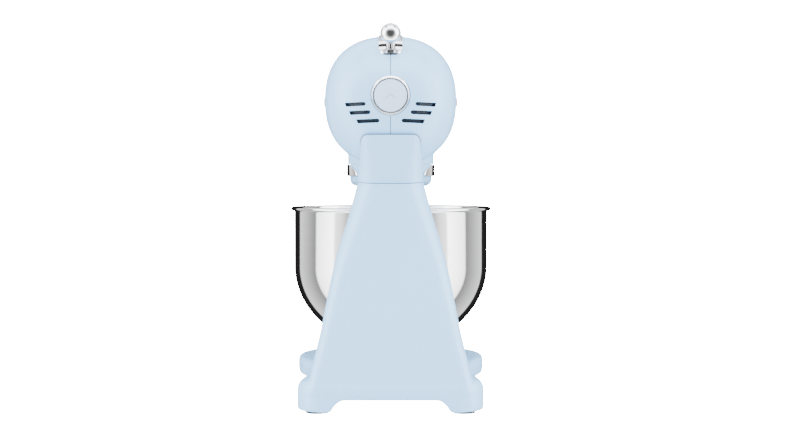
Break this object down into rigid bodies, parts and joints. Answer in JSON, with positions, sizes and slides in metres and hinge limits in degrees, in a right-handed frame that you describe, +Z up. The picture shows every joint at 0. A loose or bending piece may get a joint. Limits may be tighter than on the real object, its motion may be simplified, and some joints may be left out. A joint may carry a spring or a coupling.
{
  "type": "stand mixer",
  "caption": "Tilt-head stand mixer on a flared column with a round base platform, planetary beater, bayonet mixing bowl, top speed lever and rear release button.",
  "frame": {"origin": "middle of the footprint's box, on the table under the rubber pads", "axes": "+Z up, -Y towards the bowl and its handle, +X to the right as seen from the bowl's side; X = 0 is the mirror plane"},
  "size_m": [0.221, 0.402, 0.3782],
  "materials": {
    "blue_paint": "gloss pastel enamel",
    "chrome": "polished",
    "bowl_steel": "mirror polished stainless",
    "black_plastic": "matte",
    "rubber": "matte",
    "cast_aluminium": "as cast",
    "gear_steel": "oiled",
    "shaft_steel": "ground",
    "lamination": "varnished laminations",
    "copper": "enamelled wire",
    "board_green": "solder resist",
    "button_white": "satin",
    "beater_grey": "satin cast"
  },
  "bodies": {
    "stand": {"pedestal": "blue_paint", "neck_cover": "blue_paint", "base_cover": "black_plastic", "cord_gland": "black_plastic", "foot_pad_front_left": "rubber", "foot_pad_front_right": "rubber", "foot_pad_rear_left": "rubber", "foot_pad_rear_right": "rubber", "pivot_bracket": "cast_aluminium", "bracket_screw_1": "shaft_steel", "bracket_screw_2": "shaft_steel", "tilt_shaft": "shaft_steel", "lock_keeper": "gear_steel", "bowl_seat": "shaft_steel"},
    "head": {"head_shell_left": "blue_paint", "head_shell_right": "blue_paint", "planetary_housing": "blue_paint", "chin_band": "chrome", "hub_ring": "chrome", "speed_plate": "chrome", "side_trim_left": "chrome", "side_trim_right": "chrome", "button_ring": "chrome", "vent_baffle_left": "black_plastic", "vent_baffle_right": "black_plastic", "gearbox_frame": "cast_aluminium", "motor_stator": "lamination", "motor_bearing_rear": "shaft_steel", "motor_bearing_front": "shaft_steel", "countershaft_bearing": "shaft_steel", "hub_bearing": "shaft_steel", "main_bearing_lower": "shaft_steel", "main_bearing_upper": "shaft_steel", "ring_gear": "gear_steel", "control_board": "board_green", "pawl_pin": "shaft_steel", "pawl_spring": "shaft_steel"},
    "speed_lever": {"speed_lever": "chrome", "lever_knob": "chrome"},
    "release_button": {"release_button": "button_white"},
    "lock_pawl": {"lock_pawl": "gear_steel"},
    "motor": {"motor_shaft": "shaft_steel", "rotor_core": "copper", "commutator": "copper", "cooling_fan": "black_plastic"},
    "countershaft": {"countershaft": "gear_steel", "reduction_gear": "gear_steel"},
    "hub_drive": {"hub_drive": "gear_steel"},
    "hub_cover": {"hub_cover": "blue_paint"},
    "planetary": {"main_shaft": "shaft_steel", "crown_gear": "gear_steel", "planetary_cover": "chrome"},
    "beater": {"beater_shaft": "shaft_steel", "planet_pinion": "gear_steel", "flat_beater": "beater_grey"},
    "bowl": {"bowl": "bowl_steel", "bowl_foot": "bowl_steel", "bowl_handle": "bowl_steel"}
  },
  "joints": [
    {"name": "head_tilt", "type": "hinge", "parent": "stand", "child": "head", "pos_m": [0, 0.126, 0.305], "axis": [-1, 0, 0], "range_deg": [0, 38]},
    {"name": "speed_lever_swing", "type": "hinge", "parent": "head", "child": "speed_lever", "pos_m": [0, 0.126, 0.305], "axis": [1, 0, 0], "range_deg": [0, 40]},
    {"name": "release_button_press", "type": "slide", "parent": "head", "child": "release_button", "axis": [0, -1, 0], "range_m": [0, 0.004], "stiffness_N_per_m": 600, "springref_m": -0.002},
    {"name": "lock_pawl_rock", "type": "hinge", "parent": "head", "child": "lock_pawl", "pos_m": [0, 0.158, 0.29], "axis": [1, 0, 0], "range_deg": [0, 16]},
    {"name": "planetary_turn", "type": "hinge", "parent": "head", "child": "planetary", "pos_m": [0, -0.054, 0.291], "axis": [0, 0, 1], "continuous": true},
    {"name": "beater_spin", "type": "hinge", "parent": "planetary", "child": "beater", "pos_m": [0, -0.029, 0.2184], "axis": [0, 0, 1], "continuous": true},
    {"name": "countershaft_spin", "type": "hinge", "parent": "head", "child": "countershaft", "pos_m": [0, 0, 0.291], "axis": [0, 1, 0], "continuous": true},
    {"name": "motor_spin", "type": "hinge", "parent": "head", "child": "motor", "pos_m": [0, 0, 0.32225], "axis": [0, 1, 0], "continuous": true},
    {"name": "hub_drive_spin", "type": "hinge", "parent": "head", "child": "hub_drive", "pos_m": [0, 0, 0.291], "axis": [0, 1, 0], "continuous": true},
    {"name": "hub_cover_pull", "type": "slide", "parent": "head", "child": "hub_cover", "axis": [0, -1, 0], "range_m": [0, 0.012]},
    {"name": "bowl_twist", "type": "hinge", "parent": "stand", "child": "bowl", "pos_m": [0, -0.054, 0.0325], "axis": [0, 0, 1], "range_deg": [0, 25]}
  ],
  "couplings": [
    {"joint": "lock_pawl_rock", "follows": "release_button_press", "rad_per_m": 66.667},
    {"joint": "beater_spin", "follows": "planetary_turn", "ratio": -4.2},
    {"joint": "countershaft_spin", "follows": "planetary_turn", "ratio": 3},
    {"joint": "hub_drive_spin", "follows": "planetary_turn", "ratio": -3},
    {"joint": "motor_spin", "follows": "planetary_turn", "ratio": -12}
  ]
}
